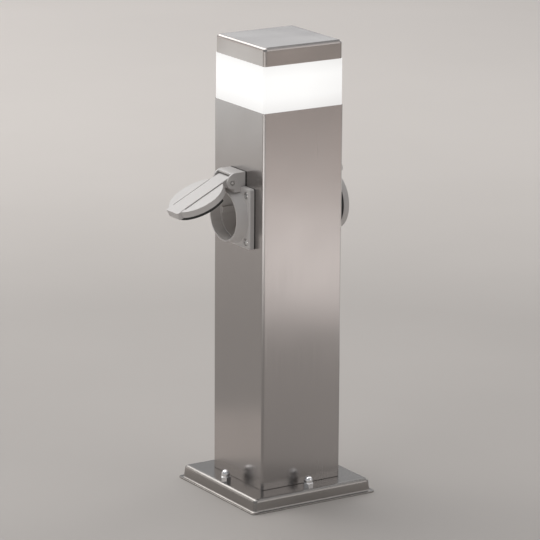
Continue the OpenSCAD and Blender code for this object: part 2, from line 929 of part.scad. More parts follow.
// Side view of one earth clip, as (out, up) points
function clip_outline() =
    let (back = recess_r - clip_stand, front = back - clip_t, bow = 0.9, flare = 0.6)
    [[floor_n, back - clip_foot], [floor_n + clip_t, back - clip_foot], [floor_n + clip_t, front],
     [clip_top - 2 * clip_bow_h, front], [clip_top - clip_bow_h, front - bow], [clip_top, front + flare],
     [clip_top, back + flare], [clip_top - clip_bow_h, back - bow], [clip_top - 2 * clip_bow_h, back],
     [floor_n, back]];

// Earth bracket: two spring strips on the floor of the recess, riveted to a bar behind it
// that holds the earth wire's terminal
module earth_clips() {
    color(brass) {
        for (side = [0, 180])
            rotate([0, 0, side]) {
                across(clip_w)
                    polygon(clip_outline());
                translate([0, rivet_up, chamber_n - skin])
                    cylinder(r = rivet_r, h = floor_t + clip_t);
            }
        translate([-clip_w / 2, -rivet_up - rivet_r, chamber_n - clip_t])
            cube([clip_w, 2 * (rivet_up + rivet_r), clip_t]);
        translate([-clip_w / 2, -earth_drop - clip_w / 2, back_n])
            cube([clip_w, clip_w, chamber_n - back_n - skin]);
    }
}

// Two contact sleeves, each with its wire terminal
module contacts() {
    color(brass)
        for (x = [-contact_reach, contact_reach])
            translate([x, 0, back_n])
                difference() {
                    union() {
                        cylinder(r = sleeve_r, h = chamber_depth);
                        translate([-terminal_w / 2, -terminal_w / 2, 0])
                            cube([terminal_w, terminal_w, terminal_h]);
                    }
                    translate([0, 0, terminal_h])
                        cylinder(r = contact_hole_r - 0.3, h = chamber_depth);
                }
}

module contact_cover() {
    color(plastic)
        translate([0, 0, cover_n])
            difference() {
                cylinder(r = insert_r, h = cover_t);
                for (x = [-contact_reach, contact_reach])
                    translate([x, 0, -1])
                        cylinder(r = wire_hole_r, h = cover_t + 2);
                translate([0, -earth_drop, -1])
                    cylinder(r = wire_hole_r, h = cover_t + 2);
            }
}

module flange_screws() {
    color(zinc)
        at_corners(screw_reach)
            translate([0, 0, flange_front - screw_sink])
                difference() {
                    union() {
                        translate([0, 0, -screw_len])
                            cylinder(r = screw_r, h = screw_len);
                        cylinder(r = screw_head_r, h = screw_head_h);
                    }
                    for (a = [0, 90])
                        rotate([0, 0, 45 + a])
                            translate([-1.6, -0.35, screw_head_h - 0.9])
                                cube([3.2, 0.7, 1]);
                }
}

module hinge_pin() {
    color(steel)
        along_pin(pin_r, pin_len);
}

// Spring that shuts the lid: a coil around the pin, with one leg against the hinge block
function spring_route() =
    let (half = spring_turns * spring_pitch / 2,
        start = [half, pin_up - spring_r, pin_out - hollow_r + leg_gap])
    concat([start, start + [0, 0, (hollow_r - leg_gap) / 2]],
        [for (i = [0:spring_turns * spring_steps])
            let (a = 360 * i / spring_steps)
            [half - spring_pitch * i / spring_steps, pin_up - spring_r * cos(a),
                pin_out + spring_r * sin(a)]]);

module lid_spring() {
    color(zinc)
        wire(spring_route(), spring_wire_r, spring_sides, [1, 0, 0]);
}

// Side view of the strap between the lid and its pin
function strap_outline() =
    concat([[lid_edge_n, 0], [strap_n, 0]],
        arc([pin_out, pin_up], strap_r, 0, 90),
        [[lid_edge_n, pin_up]]);

// Lid in its closed position: a shallow cup with a strap, a finger tab and a knuckle on the pin
module lid() {
    strap_foot = -lid_r - tab_reach;
    color(plastic)
        difference() {
            union() {
                translate([0, 0, lid_edge_n])
                    cylinder(r = lid_r, h = lid_top_n - lid_edge_n - lid_edge_r);
                translate([0, 0, lid_top_n - lid_edge_r])
                    cylinder(r1 = lid_r, r2 = lid_r - lid_edge_r - strap_rise, h = lid_edge_r + strap_rise);
                translate([-strap_w / 2, strap_foot, lid_in_n])
                    cube([strap_w, -strap_foot, strap_n - lid_in_n]);
                translate([-strap_w / 2, strap_foot, lid_edge_n])
                    cube([strap_w, lid_r + tab_reach - lid_in_r + 3, strap_n - lid_edge_n]);
                across(strap_w)
                    polygon(strap_outline());
                along_pin(knuckle_r, strap_w);
            }
            translate([0, 0, lid_edge_n - 1])
                cylinder(r = lid_in_r, h = lid_in_n - lid_edge_n + 1);
            for (side = [0, 1])
                mirror([side, 0, 0])
                    translate([strap_w / 2, 0, strap_n - wing_step])
                        rotate([0, wing_tilt, 0])
                            translate([0, -lid_r, 0])
                                cube([lid_r, 2 * lid_r, 2 * strap_rise]);
            along_pin(pocket_r, pocket_w);
            along_pin(pin_r + pin_play, strap_w + 1);
        }
}

// Sealing ring under the edge of the lid, tapered as the collar and open on the side of the hinge block
module lid_seal() {
    seal_foot_n = lid_edge_n - seal_h - 1;
    color(black_rubber)
        difference() {
            translate([0, 0, lid_edge_n - seal_h])
                cylinder(r = lid_r - seal_margin, h = seal_h);
            translate([0, 0, seal_foot_n])
                cylinder(r1 = collar_at(seal_foot_n) + seal_play,
                    r2 = collar_at(lid_edge_n + 1) + seal_play, h = seal_h + 2);
            translate([-lid_r, seal_up, 0])
                cube([2 * lid_r, lid_r, lid_edge_n + 1]);
        }
}

module left_flange_gasket() { on_left() flange_gasket(); }
module left_socket_frame() { on_left() socket_frame(); }
module left_socket_insert() { on_left() socket_insert(); }
module left_earth_clips() { on_left() earth_clips(); }
module left_contacts() { on_left() contacts(); }
module left_contact_cover() { on_left() contact_cover(); }
module left_flange_screws() { on_left() flange_screws(); }
module left_hinge_pin() { on_left() hinge_pin(); }
module left_lid_spring() { on_left() lid_spring(); }
module left_lid() { on_left() opened(left_lid_angle) lid(); }
module left_lid_seal() { on_left() opened(left_lid_angle) lid_seal(); }
module right_flange_gasket() { on_right() flange_gasket(); }
module right_socket_frame() { on_right() socket_frame(); }
module right_socket_insert() { on_right() socket_insert(); }
module right_earth_clips() { on_right() earth_clips(); }
module right_contacts() { on_right() contacts(); }
module right_contact_cover() { on_right() contact_cover(); }
module right_flange_screws() { on_right() flange_screws(); }
module right_hinge_pin() { on_right() hinge_pin(); }
module right_lid_spring() { on_right() lid_spring(); }
module right_lid() { on_right() lid(); }
module right_lid_seal() { on_right() lid_seal(); }

base_plate();
cap_nuts();
cable_grommet();
post_tube();
terminal_bracket();
terminal_block();
terminal_screws();
cord_clamp();
clamp_screws();
earth_stud();
earth_nut();
led_driver();
driver_screws();
live_wires();
neutral_wires();
earth_wires();
led_leads();
head_carrier();
lower_lens_gasket();
lens();
upper_lens_gasket();
led_core();
led_boards();
led_chips();
tie_rods();
tie_nuts();
cap_plate();
top_cap();
left_flange_gasket();
left_socket_frame();
left_socket_insert();
left_earth_clips();
left_contacts();
left_contact_cover();
left_flange_screws();
left_hinge_pin();
left_lid_spring();
left_lid();
left_lid_seal();
right_flange_gasket();
right_socket_frame();
right_socket_insert();
right_earth_clips();
right_contacts();
right_contact_cover();
right_flange_screws();
right_hinge_pin();
right_lid_spring();
right_lid();
right_lid_seal();
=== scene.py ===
import math

import bmesh
import bpy
from mathutils import Matrix, Vector


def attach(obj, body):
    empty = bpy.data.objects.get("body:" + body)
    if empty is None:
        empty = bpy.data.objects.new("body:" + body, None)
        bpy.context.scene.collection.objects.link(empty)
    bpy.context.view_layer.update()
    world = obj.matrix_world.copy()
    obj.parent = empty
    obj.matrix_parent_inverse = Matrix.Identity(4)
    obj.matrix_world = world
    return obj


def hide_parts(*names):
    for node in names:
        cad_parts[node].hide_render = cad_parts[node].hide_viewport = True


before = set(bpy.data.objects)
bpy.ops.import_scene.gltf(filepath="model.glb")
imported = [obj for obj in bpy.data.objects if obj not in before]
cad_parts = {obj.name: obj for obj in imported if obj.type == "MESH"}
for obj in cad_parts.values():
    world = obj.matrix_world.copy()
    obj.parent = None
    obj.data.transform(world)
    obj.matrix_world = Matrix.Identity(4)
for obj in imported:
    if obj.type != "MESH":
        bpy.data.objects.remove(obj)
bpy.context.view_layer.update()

# Lengths of the pieces are in millimetres, as in the part's drawing, and become metres when a piece is placed
MM = 0.001

# Points closer than MERGE are one, and heights closer than LEVEL are equal; cutters reach out by CLEAR
MERGE = 0.0005
LEVEL = 0.001
CLEAR = 1.0

# Steps of a full turn, from small holes up to wide rings
HOLE_STEPS = 32
PIN_STEPS = 40
NUT_STEPS = 48
BORE_STEPS = 72
RING_STEPS = 96

POST_W = 80.0
POST_WALL = 1.5
POST_CORNER = 2.2
BASE_TOP = 12.0
POST_TOP = 344.0
LENS_W = POST_W - 1.0
LENS_WALL = 2.5
LENS_TOP = 384.0
CAP_TOP = 400.0
STUD_REACH = 52.0

OUTLET_HEIGHT = 250.2
OUTLET_HOLE_R = 21.4
SCREW_REACH = 20.3
GASKET_T = 1.0
GASKET_W = 52.4
GASKET_CORNER = 2.0
RIM_BACK = 0.6
FLANGE_FRONT = 5.2
SCREW_SEAT = FLANGE_FRONT - 2.0
PIN_OUT = 13.2
PIN_UP = 30.5
LEFT_LID_ANGLE = math.radians(63.5)

# Places: the outlet's own frame has x across the face, y up and z out of the face
QUARTER = math.radians(90)
TO_METRES = Matrix.Scale(MM, 4)
ON_AXIS = Matrix.Identity(4)
ON_RIGHT = Matrix(((0, 0, 1, POST_W / 2), (1, 0, 0, 0), (0, 1, 0, OUTLET_HEIGHT), (0, 0, 0, 1)))
ON_LEFT = Matrix.Rotation(math.pi, 4, "Z") @ ON_RIGHT
ACROSS_POST = Matrix.Translation((0, 0, OUTLET_HEIGHT)) @ Matrix.Rotation(QUARTER, 4, "Y")
TO_PIN = Matrix.Translation((0, PIN_UP, PIN_OUT))
LID_OPEN = TO_PIN @ Matrix.Rotation(-LEFT_LID_ANGLE, 4, "X") @ TO_PIN.inverted()
ALONG_PIN = TO_PIN @ Matrix.Rotation(QUARTER, 4, "Y")


# Shapes

def arc(centre, radius, start, end, steps=8):
    """Points of an arc in degrees, ends included."""
    points = []
    for i in range(steps + 1):
        angle = math.radians(start + (end - start) * i / steps)
        points.append((centre[0] + radius * math.cos(angle), centre[1] + radius * math.sin(angle)))
    return points


def tidy(bm):
    """Merges doubled points and turns the faces outwards."""
    bmesh.ops.remove_doubles(bm, verts=bm.verts, dist=MERGE)
    bmesh.ops.recalc_face_normals(bm, faces=bm.faces)
    return bm


def extruded(bm, faces, way, keep=False):
    """Draws faces out along a vector and gives the new end's vertices."""
    result = bmesh.ops.extrude_face_region(bm, geom=faces, use_keep_orig=keep)
    verts = [g for g in result["geom"] if isinstance(g, bmesh.types.BMVert)]
    bmesh.ops.translate(bm, vec=way, verts=verts)
    return verts


def rounded_off(bm, geom, radius, steps, kind):
    """Rounds edges or corners by a radius."""
    bmesh.ops.bevel(bm, geom=geom, offset=radius, offset_type="OFFSET", affect=kind, segments=steps,
                    profile=0.5, material=-1)


def flat_square(width, height):
    bm = bmesh.new()
    bmesh.ops.create_grid(bm, x_segments=1, y_segments=1, size=width / 2)
    bmesh.ops.translate(bm, vec=(0, 0, height), verts=bm.verts)
    return bm


def rounded_square(width, corner, height, steps=8):
    """A flat square face with rounded corners."""
    bm = flat_square(width, height)
    rounded_off(bm, bm.verts[:], corner, steps, "VERTICES")
    return bm


def square_slab(width, corner, low, high):
    bm = rounded_square(width, corner, low)
    extruded(bm, bm.faces[:], (0, 0, high - low), keep=True)
    return tidy(bm)


def softened(bm, width, segments):
    """Rounds the edges of a shape by their bevel weights, where 1 is the full width."""
    body = loose_object(bm)
    bevel = body.modifiers.new("round", "BEVEL")
    bevel.width = width
    bevel.segments = segments
    bevel.limit_method = "WEIGHT"
    return taken_from(body, [])


def square_block(width, low, high, upright_r, top_r, lean=0.0, segments=6):
    """A square block with rounded uprights and a rounded top edge; its walls may lean in."""
    bm = flat_square(width, low)
    top = extruded(bm, bm.faces[:], (0, 0, high - low), keep=True)
    shrink = 1 - 2 * lean / width
    bmesh.ops.scale(bm, vec=(shrink, shrink, 1), verts=top)
    tidy(bm)
    widest = max(upright_r, top_r)
    weight = bm.edges.layers.float.new("bevel_weight_edge")
    for edge in bm.edges:
        heights = [v.co.z for v in edge.verts]
        if min(heights) > high - LEVEL:
            edge[weight] = top_r / widest
        elif max(heights) > high - LEVEL:
            edge[weight] = upright_r / widest
    return softened(bm, widest, segments)


def with_top_ring(bm, ring_w=0.8):
    """Sets a narrow ring into the top face, so that the rounding beside it shades evenly."""
    top = max(bm.faces, key=lambda f: (round(f.calc_center_median().z, 3), f.calc_area()))
    bmesh.ops.inset_region(bm, faces=[top], thickness=ring_w, use_even_offset=True)
    return bm


def square_tube(width, wall, corner, low, high):
    bm = rounded_square(width, corner, low)
    bmesh.ops.inset_region(bm, faces=bm.faces[:], thickness=wall, use_boundary=True, use_even_offset=True)
    middle = max(bm.faces, key=lambda f: len(f.verts))
    bmesh.ops.delete(bm, geom=[middle], context="FACES_ONLY")
    extruded(bm, bm.faces[:], (0, 0, high - low), keep=True)
    return tidy(bm)


def turned(points, steps=BORE_STEPS):
    """A side view of (radius, height) points, turned about Z."""
    bm = bmesh.new()
    verts = [bm.verts.new((r, 0, z)) for r, z in points]
    edges = [bm.edges.new(pair) for pair in zip(verts, verts[1:])]
    bmesh.ops.spin(bm, geom=verts + edges, axis=(0, 0, 1), cent=(0, 0, 0), angle=2 * math.pi,
                   steps=steps, use_merge=True)
    return tidy(bm)


def rod(radius, low, high, steps=NUT_STEPS):
    return turned([(0, low), (radius, low), (radius, high), (0, high)], steps)


def across(points, width):
    """A side view of (out, up) points in the outlet's frame, drawn to a width about its middle."""
    bm = bmesh.new()
    bm.faces.new([bm.verts.new((-width / 2, up, out)) for out, up in points])
    extruded(bm, bm.faces[:], (width, 0, 0), keep=True)
    return tidy(bm)


def block(low, high):
    """A box between two corners."""
    bm = bmesh.new()
    size = [b - a for a, b in zip(low, high)]
    middle = [(a + b) / 2 for a, b in zip(low, high)]
    bmesh.ops.create_cube(bm, size=1)
    bmesh.ops.scale(bm, vec=size, verts=bm.verts)
    bmesh.ops.translate(bm, vec=middle, verts=bm.verts)
    return bm


def moved(bm, place):
    bmesh.ops.transform(bm, matrix=place, verts=bm.verts)
    return bm


def at(x, y, z):
    return Matrix.Translation((x, y, z))


def about_pin(radius, half, steps):
    """A rod on the hinge's axis, as long on one side of the middle as on the other."""
    return moved(rod(radius, -half, half, steps), ALONG_PIN)


def on_side(side, near, far):
    """Two distances from the middle, lowest first, on the side of a sign."""
    return sorted((side * near, side * far))


def loose_object(bm):
    mesh = bpy.data.meshes.new("shaping")
    bm.to_mesh(mesh)
    bm.free()
    obj = bpy.data.objects.new("shaping", mesh)
    bpy.context.scene.collection.objects.link(obj)
    return obj


def taken_from(body, helpers):
    """The shape of an object with its modifiers applied; the object and its helpers are removed."""
    result = bmesh.new()
    result.from_object(body, bpy.context.evaluated_depsgraph_get())
    for obj in [body] + helpers:
        mesh = obj.data
        bpy.data.objects.remove(obj)
        bpy.data.meshes.remove(mesh)
    return tidy(result)


def shaped(bm, steps):
    """Joins, cuts or trims a closed shape by others, given as (operation, shape) pairs."""
    body = loose_object(bm)
    helpers = []
    for operation, other in steps:
        helper = loose_object(other)
        modifier = body.modifiers.new("shape", "BOOLEAN")
        modifier.operation = operation
        modifier.solver = "EXACT"
        modifier.object = helper
        helpers.append(helper)
    return taken_from(body, helpers)


def joined(shapes):
    """Puts separate closed shapes into one mesh."""
    whole = bmesh.new()
    for bm in shapes:
        mesh = bpy.data.meshes.new("joining")
        bm.to_mesh(mesh)
        bm.free()
        whole.from_mesh(mesh)
        bpy.data.meshes.remove(mesh)
    return whole


def piece(name, bm, place, body, nodes, finish, edge=0.0, crease=35):
    """Places a shape in the frame as a piece that stands for CAD nodes."""
    bmesh.ops.transform(bm, matrix=TO_METRES @ place, verts=bm.verts)
    mesh = bpy.data.meshes.new(name)
    bm.to_mesh(mesh)
    bm.free()
    mesh.shade_smooth()
    mesh.set_sharp_from_angle(angle=math.radians(crease))
    mesh.materials.append(finish)
    obj = bpy.data.objects.new(name, mesh)
    bpy.context.scene.collection.objects.link(obj)
    if edge:
        bevel = obj.modifiers.new("edge", "BEVEL")
        bevel.width = edge * MM
        bevel.segments = 3
        bevel.limit_method = "ANGLE"
        bevel.angle_limit = math.radians(crease)
        bevel.miter_outer = "MITER_ARC"
        bevel.use_clamp_overlap = True
    normals = obj.modifiers.new("normals", "WEIGHTED_NORMAL")
    normals.weight = 100
    normals.keep_sharp = not edge
    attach(obj, body)
    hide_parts(*nodes)
    return obj


# Effects that several finishes share

def node_group(name, inputs, outputs):
    group = bpy.data.node_groups.new(name, "ShaderNodeTree")
    for label, kind, value in inputs:
        socket = group.interface.new_socket(name=label, in_out="INPUT", socket_type=kind)
        if value is not None:
            socket.default_value = value
    for label, kind in outputs:
        group.interface.new_socket(name=label, in_out="OUTPUT", socket_type=kind)
    start = group.nodes.new("NodeGroupInput")
    end = group.nodes.new("NodeGroupOutput")
    return group, start, end


def noise(tree, scale, detail, roughness=0.5):
    node = tree.nodes.new("ShaderNodeTexNoise")
    node.inputs["Scale"].default_value = scale
    node.inputs["Detail"].default_value = detail
    node.inputs["Roughness"].default_value = roughness
    return node


def brushed_lines_group():
    """Fine lines left by the brushing belt, stretched along one direction."""
    group, start, end = node_group(
        "brushed_lines",
        [("Vector", "NodeSocketVector", None), ("Stretch", "NodeSocketVector", (900, 900, 14))],
        [("Lines", "NodeSocketFloat"), ("Clouds", "NodeSocketFloat")])
    stretch = group.nodes.new("ShaderNodeVectorMath")
    stretch.operation = "MULTIPLY"
    group.links.new(start.outputs["Vector"], stretch.inputs[0])
    group.links.new(start.outputs["Stretch"], stretch.inputs[1])
    lines = noise(group, scale=1.0, detail=3, roughness=0.65)
    group.links.new(stretch.outputs["Vector"], lines.inputs["Vector"])
    clouds = noise(group, scale=11.0, detail=2)
    group.links.new(start.outputs["Vector"], clouds.inputs["Vector"])
    group.links.new(lines.outputs["Fac"], end.inputs["Lines"])
    group.links.new(clouds.outputs["Fac"], end.inputs["Clouds"])
    return group


def moulded_skin_group():
    """The fine grain and slight unevenness of a moulded or rubbed surface."""
    group, start, end = node_group(
        "moulded_skin",
        [("Vector", "NodeSocketVector", None), ("Grain", "NodeSocketFloat", 2600.0)],
        [("Grain", "NodeSocketFloat"), ("Mottle", "NodeSocketFloat")])
    grain = noise(group, scale=1.0, detail=2, roughness=0.6)
    group.links.new(start.outputs["Vector"], grain.inputs["Vector"])
    group.links.new(start.outputs["Grain"], grain.inputs["Scale"])
    mottle = noise(group, scale=55.0, detail=3)
    group.links.new(start.outputs["Vector"], mottle.inputs["Vector"])
    group.links.new(grain.outputs["Fac"], end.inputs["Grain"])
    group.links.new(mottle.outputs["Fac"], end.inputs["Mottle"])
    return group


BRUSHED_LINES = brushed_lines_group()
MOULDED_SKIN = moulded_skin_group()


# Finishes; colours are linear, and depths of bump are in metres

BRUSH_DEPTH = 0.00004
MOULD_DEPTH = 0.00006
METAL_DEPTH = 0.00003
METAL_GRAIN = 900.0
CLOUD_GLOSS = 0.03

# Sockets of the mix node when it mixes colours
MIX_FACTOR = 0
MIX_FIRST = 6
MIX_SECOND = 7
MIX_COLOUR = 2


def new_finish(name):
    material = bpy.data.materials.new(name)
    material.use_nodes = True
    shader = material.node_tree.nodes["Principled BSDF"]
    place = material.node_tree.nodes.new("ShaderNodeTexCoord")
    return material, material.node_tree, shader, place.outputs["Object"]


def placed(tree, group, vector):
    node = tree.nodes.new("ShaderNodeGroup")
    node.node_tree = group
    tree.links.new(vector, node.inputs["Vector"])
    return node


def blended(tree, mask, first, second):
    """A colour that changes from the first to the second with a mask."""
    mix = tree.nodes.new("ShaderNodeMix")
    mix.data_type = "RGBA"
    tree.links.new(mask, mix.inputs[MIX_FACTOR])
    mix.inputs[MIX_FIRST].default_value = (*first, 1)
    mix.inputs[MIX_SECOND].default_value = (*second, 1)
    return mix.outputs[MIX_COLOUR]


def ranged(tree, value, low, high, start=0.3, end=0.7):
    """A value that goes from low to high while another goes from start to end."""
    node = tree.nodes.new("ShaderNodeMapRange")
    node.inputs["From Min"].default_value = start
    node.inputs["From Max"].default_value = end
    node.inputs["To Min"].default_value = low
    node.inputs["To Max"].default_value = high
    tree.links.new(value, node.inputs["Value"])
    return node.outputs["Result"]


def summed(tree, first, second):
    node = tree.nodes.new("ShaderNodeMath")
    node.operation = "ADD"
    tree.links.new(first, node.inputs[0])
    tree.links.new(second, node.inputs[1])
    return node.outputs["Value"]


def bumped(tree, normal, height, strength, distance):
    """Raises a height into a normal input, and gives the input that takes the surface below it."""
    bump = tree.nodes.new("ShaderNodeBump")
    bump.inputs["Strength"].default_value = strength
    bump.inputs["Distance"].default_value = distance
    tree.links.new(height, bump.inputs["Height"])
    tree.links.new(bump.outputs["Normal"], normal)
    return bump.inputs["Normal"]


def brushed_steel(name, dark, light, smooth, rough, stretch, depth, grain, sway):
    """Satin stainless sheet with fine lines along the direction of least stretch.

    It sways a little out of flat, and its grain pulls the highlights across the lines.
    """
    material, tree, shader, vector = new_finish(name)
    lines = placed(tree, BRUSHED_LINES, vector)
    lines.inputs["Stretch"].default_value = stretch
    tree.links.new(blended(tree, lines.outputs["Lines"], dark, light), shader.inputs["Base Color"])
    gloss = summed(tree, ranged(tree, lines.outputs["Lines"], smooth, rough),
                   ranged(tree, lines.outputs["Clouds"], -CLOUD_GLOSS, CLOUD_GLOSS))
    tree.links.new(gloss, shader.inputs["Roughness"])
    shader.inputs["Metallic"].default_value = 1.0
    shader.inputs["Anisotropic"].default_value = grain
    below = bumped(tree, shader.inputs["Normal"], lines.outputs["Lines"], depth, BRUSH_DEPTH)
    bumped(tree, below, lines.outputs["Clouds"], 1.0, sway)
    return material


def skinned(name, dark, light, smooth, rough, grain, strength, depth):
    """A mottled surface with a fine grain, and the shader it feeds."""
    material, tree, shader, vector = new_finish(name)
    skin = placed(tree, MOULDED_SKIN, vector)
    skin.inputs["Grain"].default_value = grain
    tree.links.new(blended(tree, skin.outputs["Mottle"], dark, light), shader.inputs["Base Color"])
    tree.links.new(ranged(tree, skin.outputs["Mottle"], smooth, rough), shader.inputs["Roughness"])
    bumped(tree, shader.inputs["Normal"], skin.outputs["Grain"], strength, depth)
    return material, shader


def moulded(name, dark, light, smooth, rough, grain, strength):
    """Plastic or rubber with a fine moulded grain."""
    return skinned(name, dark, light, smooth, rough, grain, strength, MOULD_DEPTH)[0]


def insulation(colours, dark, light):
    """The smooth skin of a wire."""
    return moulded("wire_" + colours + "_insulation", dark, light, 0.35, 0.45, grain=1800, strength=0.06)


def metal(name, dark, light, smooth, rough, strength=0.05):
    """Plated, drawn or rolled metal, with faint handling marks."""
    material, shader = skinned(name, dark, light, smooth, rough, METAL_GRAIN, strength, METAL_DEPTH)
    shader.inputs["Metallic"].default_value = 1.0
    return material


def lit_opal(name):
    """Opal band lit from inside, a little dimmer along its edges and towards one lower corner; the dimming on
    its +X side is painted shade in the glow's colour.
    """
    dim_glow = (0.76, 0.752, 0.74)
    full_glow = (0.93, 0.925, 0.915)
    opal_dark = (0.10, 0.10, 0.098)
    opal_light = (0.13, 0.13, 0.127)
    edge_fade = 0.012
    painted_shade_reach = 0.040
    rise = 0.030
    material, tree, shader, vector = new_finish(name)
    split = tree.nodes.new("ShaderNodeSeparateXYZ")
    tree.links.new(vector, split.inputs["Vector"])
    height = tree.nodes.new("ShaderNodeMath")
    height.operation = "PINGPONG"
    height.inputs[1].default_value = (LENS_TOP - POST_TOP) / 2 * MM
    level = tree.nodes.new("ShaderNodeMath")
    level.operation = "SUBTRACT"
    level.inputs[1].default_value = POST_TOP * MM
    tree.links.new(split.outputs["Z"], level.inputs[0])
    tree.links.new(level.outputs["Value"], height.inputs[0])
    from_edge = ranged(tree, height.outputs["Value"], low=0.0, high=0.6, start=0.0, end=edge_fade)
    # Painted shade: the glow dims from the middle of the band towards its +X side
    painted_side_shade = ranged(tree, split.outputs["X"], low=0.4, high=0.0, start=0.0, end=painted_shade_reach)
    from_foot = ranged(tree, level.outputs["Value"], low=-0.2, high=0.1, start=0.0, end=rise)
    glow_with_painted_shade = summed(tree, from_edge, summed(tree, painted_side_shade, from_foot))
    tree.links.new(blended(tree, glow_with_painted_shade, dim_glow, full_glow), shader.inputs["Emission Color"])
    shader.inputs["Emission Strength"].default_value = 1.0
    skin = placed(tree, MOULDED_SKIN, vector)
    tree.links.new(blended(tree, skin.outputs["Mottle"], opal_dark, opal_light), shader.inputs["Base Color"])
    tree.links.new(ranged(tree, skin.outputs["Mottle"], 0.35, 0.45), shader.inputs["Roughness"])
    return material


UPRIGHT_BRUSH = (900, 900, 12)
LEVEL_BRUSH = (18, 1600, 1600)
PLASTIC_DARK = (0.59, 0.57, 0.558)
PLASTIC_LIGHT = (0.63, 0.61, 0.598)

post_steel = brushed_steel(
    "post_satin_steel", (0.375, 0.358, 0.350), (0.414, 0.397, 0.389), 0.21, 0.26,
    UPRIGHT_BRUSH, depth=0.02, grain=0.4, sway=0.0003)
cap_steel = brushed_steel(
    "cap_satin_steel", (0.435, 0.408, 0.392), (0.48, 0.45, 0.432), 0.17, 0.21,
    LEVEL_BRUSH, depth=0.004, grain=0.0, sway=0.001)
# Painted shade: the base's steel is coloured darker than the post's, so that it mirrors the pale floor as
# dimly as a darker ground would
base_steel_painted_dark = brushed_steel(
    "base_satin_steel", (0.305, 0.29, 0.276), (0.345, 0.327, 0.311), 0.21, 0.26,
    LEVEL_BRUSH, depth=0.004, grain=0.0, sway=0.002)

nut_chrome = metal("nut_chrome", (0.86, 0.86, 0.87), (0.92, 0.92, 0.93), 0.06, 0.12, strength=0.03)
screw_zinc = metal("screw_zinc", (0.72, 0.72, 0.71), (0.82, 0.82, 0.80), 0.14, 0.24)
pin_steel = metal("pin_steel", (0.50, 0.49, 0.48), (0.60, 0.59, 0.58), 0.22, 0.34)
inner_steel = metal("inner_steel", (0.48, 0.48, 0.47), (0.56, 0.56, 0.55), 0.35, 0.50)
inner_alu = metal("inner_aluminium", (0.70, 0.70, 0.70), (0.80, 0.80, 0.80), 0.30, 0.42)
brass = metal("contact_brass", (0.66, 0.50, 0.22), (0.76, 0.60, 0.28), 0.22, 0.34)

grey_plastic = moulded(
    "frame_grey_plastic", PLASTIC_DARK, PLASTIC_LIGHT, 0.36, 0.44, grain=2600, strength=0.10)
lid_plastic = moulded(
    "lid_grey_plastic", PLASTIC_DARK, PLASTIC_LIGHT, 0.38, 0.46, grain=2600, strength=0.10)
black_rubber = moulded(
    "gasket_black_rubber", (0.012, 0.012, 0.012), (0.022, 0.022, 0.022), 0.55, 0.70,
    grain=1800, strength=0.15)
white_plastic = moulded(
    "inner_white_plastic", (0.76, 0.76, 0.74), (0.82, 0.82, 0.80), 0.40, 0.50, grain=2200, strength=0.08)
board_white = moulded(
    "board_white_lacquer", (0.80, 0.81, 0.79), (0.86, 0.87, 0.85), 0.30, 0.40, grain=1500, strength=0.05)
chip_yellow = moulded(
    "chip_yellow_phosphor", (0.82, 0.66, 0.16), (0.90, 0.74, 0.22), 0.40, 0.50, grain=3000, strength=0.10)

wire_brown = insulation("brown", (0.16, 0.07, 0.035), (0.20, 0.09, 0.045))
wire_blue = insulation("blue", (0.03, 0.10, 0.36), (0.04, 0.13, 0.42))
wire_green = insulation("green_yellow", (0.16, 0.42, 0.05), (0.52, 0.55, 0.06))
wire_red = insulation("red", (0.45, 0.03, 0.025), (0.55, 0.04, 0.03))

opal = lit_opal("lit_opal_band")


# Post, base and lamp head

# Place of each ground stud, and how far its nut is turned in degrees
STUDS = ((STUD_REACH, 0, 12), (-STUD_REACH, 0, 40), (0, STUD_REACH, 75), (0, -STUD_REACH, 34))


def base_pressing():
    """Pressed pan: a lip on the ground, a leaning wall and a rounded shoulder, hollow below."""
    lip_w = 126.0
    lip_corner = 4.0
    foot_w = 120.4
    foot_corner = 3.5
    shoulder_r = 3.0
    sheet = 1.2
    lean = 1.2
    foot_r = 1.3
    rim_r = 0.4
    hollow_corner = 2.4
    inlet_r = 8.0
    stud_hole_r = 2.75
    ground_half = 90.0
    ground_depth = 9.0
    above = 20.0
    slack = 0.05
    pan = with_top_ring(square_block(foot_w, -CLEAR, BASE_TOP, foot_corner, shoulder_r, lean))
    ground = block((-ground_half, -ground_half, -ground_depth), (ground_half, ground_half, 0))
    bm = shaped(pan, [("DIFFERENCE", ground), ("UNION", square_slab(lip_w, lip_corner, 0.0, sheet))])
    foot_edges = []
    rim_edges = []
    for edge in bm.edges:
        if all(abs(v.co.z - sheet) < LEVEL for v in edge.verts):
            reach = max(max(abs(v.co.x), abs(v.co.y)) for v in edge.verts)
            (foot_edges if reach < foot_w / 2 + slack else rim_edges).append(edge)
    rounded_off(bm, foot_edges, foot_r, 4, "EDGES")
    rounded_off(bm, [e for e in rim_edges if e.is_valid], rim_r, 3, "EDGES")
    hollow = square_slab(foot_w - 2 * sheet - 2 * lean, hollow_corner, -CLEAR, BASE_TOP - sheet)
    cuts = [("DIFFERENCE", hollow), ("DIFFERENCE", rod(inlet_r, 0.0, above))]
    for x, y, _ in STUDS:
        cuts.append(("DIFFERENCE", moved(rod(stud_hole_r, 0.0, above, HOLE_STEPS), at(x, y, 0))))
    return shaped(tidy(bm), cuts)


